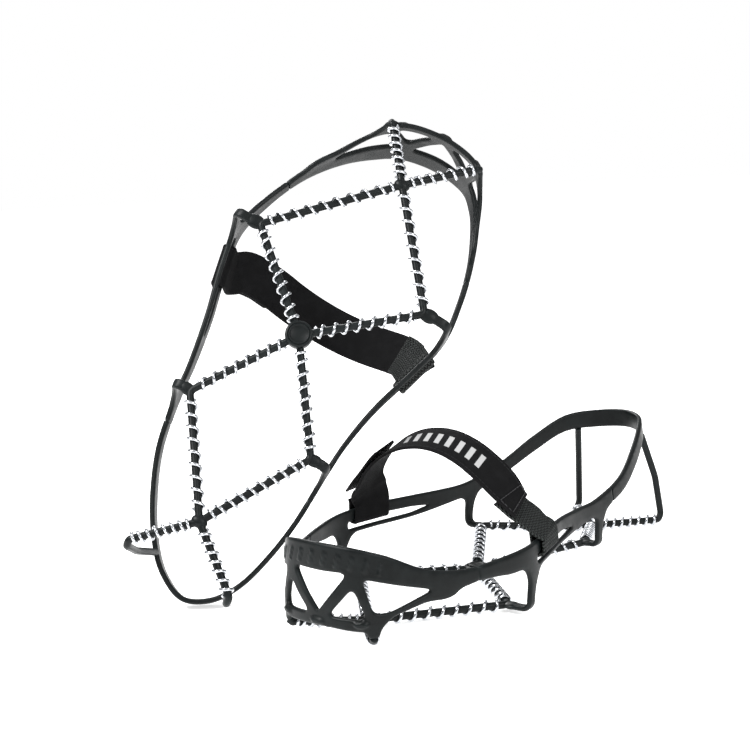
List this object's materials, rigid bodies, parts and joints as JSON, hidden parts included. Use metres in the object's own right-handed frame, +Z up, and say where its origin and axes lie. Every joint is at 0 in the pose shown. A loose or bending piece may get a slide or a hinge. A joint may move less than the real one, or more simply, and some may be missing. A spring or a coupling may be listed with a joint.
{
  "type": "boot traction device",
  "caption": "Pair of pull-on ice traction nets: rubber harness round the boot, wire coils on the sole cords, instep strap.",
  "frame": {"origin": "on the floor under the centre disc of device A, at the middle of the disc's flat lower face", "axes": "+Z up; -Y toward the toe of device A and +Y toward its heel; +X toward the side where its ribbed elastic wraps the rail"},
  "size_m": [0.1992, 0.3379, 0.2656],
  "materials": {
    "rubber": "satin moulded rubber",
    "steel": "bright drawn steel wire",
    "webbing": "woven hook-and-loop webbing",
    "elastic": "ribbed woven elastic",
    "tab": "hook-and-loop tab"
  },
  "bodies": {
    "a_harness": {"a_toe_cradle": "rubber", "a_side_rail_left": "rubber", "a_side_rail_right": "rubber", "a_heel_band": "rubber", "a_hub_disc": "rubber", "a_web_front": "rubber", "a_web_rear": "rubber"},
    "a_coil_toe_left": {"a_coil_toe_left": "steel"},
    "a_coil_toe_right": {"a_coil_toe_right": "steel"},
    "a_coil_front_outer_left": {"a_coil_front_outer_left": "steel"},
    "a_coil_front_outer_right": {"a_coil_front_outer_right": "steel"},
    "a_coil_front_inner_left": {"a_coil_front_inner_left": "steel"},
    "a_coil_front_inner_right": {"a_coil_front_inner_right": "steel"},
    "a_coil_rear_inner_left": {"a_coil_rear_inner_left": "steel"},
    "a_coil_rear_inner_right": {"a_coil_rear_inner_right": "steel"},
    "a_coil_rear_outer_left": {"a_coil_rear_outer_left": "steel"},
    "a_coil_rear_outer_right": {"a_coil_rear_outer_right": "steel"},
    "a_coil_heel_left": {"a_coil_heel_left": "steel"},
    "a_coil_heel_right": {"a_coil_heel_right": "steel"},
    "a_strap": {"a_strap_band": "webbing", "a_strap_elastic": "elastic"},
    "a_tab": {"a_strap_tab": "tab"},
    "b_harness": {"b_toe_cradle": "rubber", "b_side_rail_left": "rubber", "b_side_rail_right": "rubber", "b_heel_band": "rubber", "b_hub_disc": "rubber", "b_web_front": "rubber", "b_web_rear": "rubber"},
    "b_coil_toe_left": {"b_coil_toe_left": "steel"},
    "b_coil_toe_right": {"b_coil_toe_right": "steel"},
    "b_coil_front_outer_left": {"b_coil_front_outer_left": "steel"},
    "b_coil_front_outer_right": {"b_coil_front_outer_right": "steel"},
    "b_coil_front_inner_left": {"b_coil_front_inner_left": "steel"},
    "b_coil_front_inner_right": {"b_coil_front_inner_right": "steel"},
    "b_coil_rear_inner_left": {"b_coil_rear_inner_left": "steel"},
    "b_coil_rear_inner_right": {"b_coil_rear_inner_right": "steel"},
    "b_coil_rear_outer_left": {"b_coil_rear_outer_left": "steel"},
    "b_coil_rear_outer_right": {"b_coil_rear_outer_right": "steel"},
    "b_coil_heel_left": {"b_coil_heel_left": "steel"},
    "b_coil_heel_right": {"b_coil_heel_right": "steel"},
    "b_strap": {"b_strap_band": "webbing", "b_strap_elastic": "elastic"},
    "b_tab": {"b_strap_tab": "tab"}
  },
  "joints": [
    {"name": "a_coil_toe_left_spin", "type": "hinge", "parent": "a_harness", "child": "a_coil_toe_left", "pos_m": [-0.0059, -0.1215, 0.0059], "axis": [-0.5892, -0.8007, 0.1085], "continuous": true},
    {"name": "a_coil_toe_right_spin", "type": "hinge", "parent": "a_harness", "child": "a_coil_toe_right", "pos_m": [0.0206, -0.1215, 0.0059], "axis": [0.6944, -0.7131, 0.0966], "continuous": true},
    {"name": "a_coil_front_outer_left_spin", "type": "hinge", "parent": "a_harness", "child": "a_coil_front_outer_left", "pos_m": [-0.02299, -0.07575, 0.0038], "axis": [-0.6857, 0.7279, 0], "continuous": true},
    {"name": "a_coil_front_outer_right_spin", "type": "hinge", "parent": "a_harness", "child": "a_coil_front_outer_right", "pos_m": [0.02951, -0.07575, 0.0038], "axis": [0.6216, 0.7833, 0], "continuous": true},
    {"name": "a_coil_front_inner_left_spin", "type": "hinge", "parent": "a_harness", "child": "a_coil_front_inner_left", "pos_m": [-0.02574, -0.02275, 0.0038], "axis": [0.7493, 0.6622, 0], "continuous": true},
    {"name": "a_coil_front_inner_right_spin", "type": "hinge", "parent": "a_harness", "child": "a_coil_front_inner_right", "pos_m": [0.02676, -0.02275, 0.0038], "axis": [-0.7618, 0.6478, 0], "continuous": true},
    {"name": "a_coil_rear_inner_left_spin", "type": "hinge", "parent": "a_harness", "child": "a_coil_rear_inner_left", "pos_m": [-0.01826, 0.0275, 0.0079], "axis": [-0.5489, 0.8267, 0.1233], "continuous": true},
    {"name": "a_coil_rear_inner_right_spin", "type": "hinge", "parent": "a_harness", "child": "a_coil_rear_inner_right", "pos_m": [0.01974, 0.0275, 0.0079], "axis": [0.5789, 0.8065, 0.1202], "continuous": true},
    {"name": "a_coil_rear_outer_left_spin", "type": "hinge", "parent": "a_harness", "child": "a_coil_rear_outer_left", "pos_m": [-0.01502, 0.085, 0.0079], "axis": [0.5789, 0.8079, -0.1104], "continuous": true},
    {"name": "a_coil_rear_outer_right_spin", "type": "hinge", "parent": "a_harness", "child": "a_coil_rear_outer_right", "pos_m": [0.02298, 0.085, 0.0079], "axis": [-0.4785, 0.87, -0.1189], "continuous": true},
    {"name": "a_coil_heel_left_spin", "type": "hinge", "parent": "a_harness", "child": "a_coil_heel_left", "pos_m": [-0.00714, 0.128, 0.0049], "axis": [-0.7221, 0.6893, 0.0583], "continuous": true},
    {"name": "a_coil_heel_right_spin", "type": "hinge", "parent": "a_harness", "child": "a_coil_heel_right", "pos_m": [0.02336, 0.128, 0.0049], "axis": [0.7912, 0.6094, 0.0516], "continuous": true},
    {"name": "a_strap_slide", "type": "slide", "parent": "a_harness", "child": "a_strap", "axis": [0, 1, 0], "range_m": [-0.0025, 0.0015]},
    {"name": "a_tab_peel", "type": "hinge", "parent": "a_strap", "child": "a_tab", "pos_m": [-0.06431, -0.02324, 0.05214], "axis": [-0.2312, -0.9724, -0.0307], "range_deg": [0, 110]},
    {"name": "b_coil_toe_left_spin", "type": "hinge", "parent": "b_harness", "child": "b_coil_toe_left", "pos_m": [-0.03691, -0.01168, 0.24454], "axis": [-0.3921, 0.3357, 0.8565], "continuous": true},
    {"name": "b_coil_toe_right_spin", "type": "hinge", "parent": "b_harness", "child": "b_coil_toe_right", "pos_m": [-0.01686, -0.00066, 0.23117], "axis": [0.5732, 0.806, 0.1477], "continuous": true},
    {"name": "b_coil_front_outer_left_spin", "type": "hinge", "parent": "b_harness", "child": "b_coil_front_outer_left", "pos_m": [-0.05551, -0.04931, 0.2195], "axis": [-0.6302, -0.7492, -0.2037], "continuous": true},
    {"name": "b_coil_front_outer_right_spin", "type": "hinge", "parent": "b_harness", "child": "b_coil_front_outer_right", "pos_m": [-0.01579, -0.02748, 0.19301], "axis": [0.3504, -0.2408, -0.9051], "continuous": true},
    {"name": "b_coil_front_inner_left_spin", "type": "hinge", "parent": "b_harness", "child": "b_coil_front_inner_left", "pos_m": [-0.06571, -0.08424, 0.18086], "axis": [0.4655, -0.1104, -0.8781], "continuous": true},
    {"name": "b_coil_front_inner_right_spin", "type": "hinge", "parent": "b_harness", "child": "b_coil_front_inner_right", "pos_m": [-0.02599, -0.0624, 0.15437], "axis": [-0.6756, -0.7298, -0.1048], "continuous": true},
    {"name": "b_coil_rear_inner_left_spin", "type": "hinge", "parent": "b_harness", "child": "b_coil_rear_inner_left", "pos_m": [-0.07035, -0.1105, 0.13742], "axis": [-0.6203, -0.6754, -0.3989], "continuous": true},
    {"name": "b_coil_rear_inner_right_spin", "type": "hinge", "parent": "b_harness", "child": "b_coil_rear_inner_right", "pos_m": [-0.0416, -0.09469, 0.11825], "axis": [0.2381, -0.1953, -0.9514], "continuous": true},
    {"name": "b_coil_rear_outer_left_spin", "type": "hinge", "parent": "b_harness", "child": "b_coil_rear_outer_left", "pos_m": [-0.0767, -0.1458, 0.09237], "axis": [0.3845, -0.3458, -0.8559], "continuous": true},
    {"name": "b_coil_rear_outer_right_spin", "type": "hinge", "parent": "b_harness", "child": "b_coil_rear_outer_right", "pos_m": [-0.04795, -0.13, 0.0732], "axis": [-0.4197, -0.8307, -0.3657], "continuous": true},
    {"name": "b_coil_heel_left_spin", "type": "hinge", "parent": "b_harness", "child": "b_coil_heel_left", "pos_m": [-0.07542, -0.17188, 0.05718], "axis": [-0.689, -0.7019, -0.1806], "continuous": true},
    {"name": "b_coil_heel_right_spin", "type": "hinge", "parent": "b_harness", "child": "b_coil_heel_right", "pos_m": [-0.05234, -0.1592, 0.04179], "axis": [0.4726, -0.0259, -0.8809], "continuous": true},
    {"name": "b_strap_slide", "type": "slide", "parent": "b_harness", "child": "b_strap", "axis": [-0.1531, -0.6374, -0.7551], "range_m": [-0.0025, 0.0015]},
    {"name": "b_tab_peel", "type": "hinge", "parent": "b_strap", "child": "b_tab", "pos_m": [-0.12554, -0.06862, 0.18045], "axis": [-0.0065, 0.5038, 0.8638], "range_deg": [0, 110]},
    {"name": "b_lift", "type": "slide", "parent": "a_harness", "child": "b_harness", "axis": [0, 0, 1], "range_m": [0, 0.12]}
  ]
}
